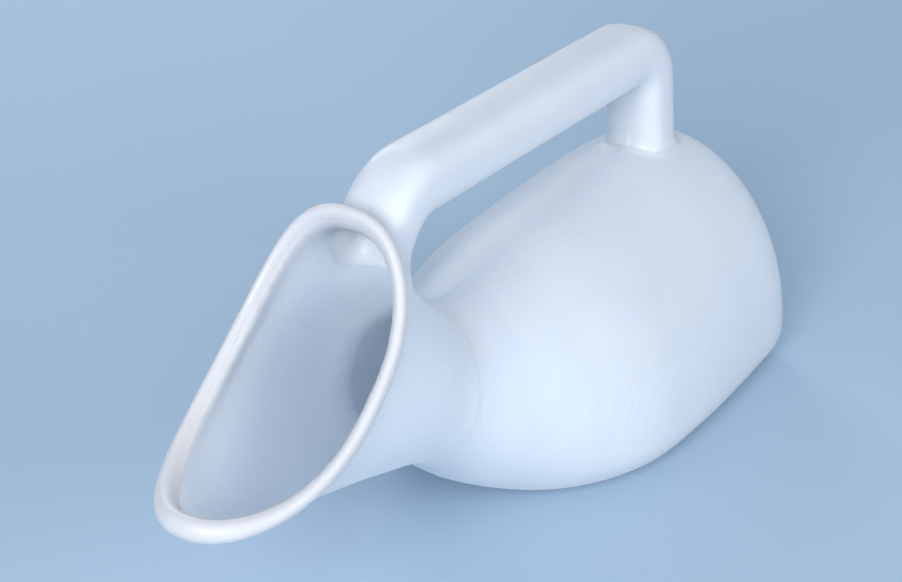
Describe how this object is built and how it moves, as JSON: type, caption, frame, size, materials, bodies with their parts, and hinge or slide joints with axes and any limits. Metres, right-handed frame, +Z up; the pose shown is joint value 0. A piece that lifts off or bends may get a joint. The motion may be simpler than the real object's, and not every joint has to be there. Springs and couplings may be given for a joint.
{
  "type": "urinal bottle",
  "caption": "Loaf-shaped plastic bedside bottle with a wide upturned scoop mouth, a rolled rim and a hollow carrying handle over its top.",
  "frame": {"origin": "middle of the object's box in plan, on the surface that it stands on", "axes": "+X from the mouth to the rear wall, +Z up from the flat base, and the bottle is mirrored about the plane Y = 0"},
  "size_m": [0.2798, 0.098, 0.1284],
  "materials": {
    "milky_body": "satin milky plastic",
    "milky_funnel": "satin milky plastic",
    "milky_rim": "satin opaque white plastic",
    "milky_handle": "satin milky plastic"
  },
  "bodies": {
    "root": {"body_shell": "milky_body", "mouth_funnel": "milky_funnel", "mouth_rim": "milky_rim", "handle": "milky_handle"}
  },
  "joints": []
}
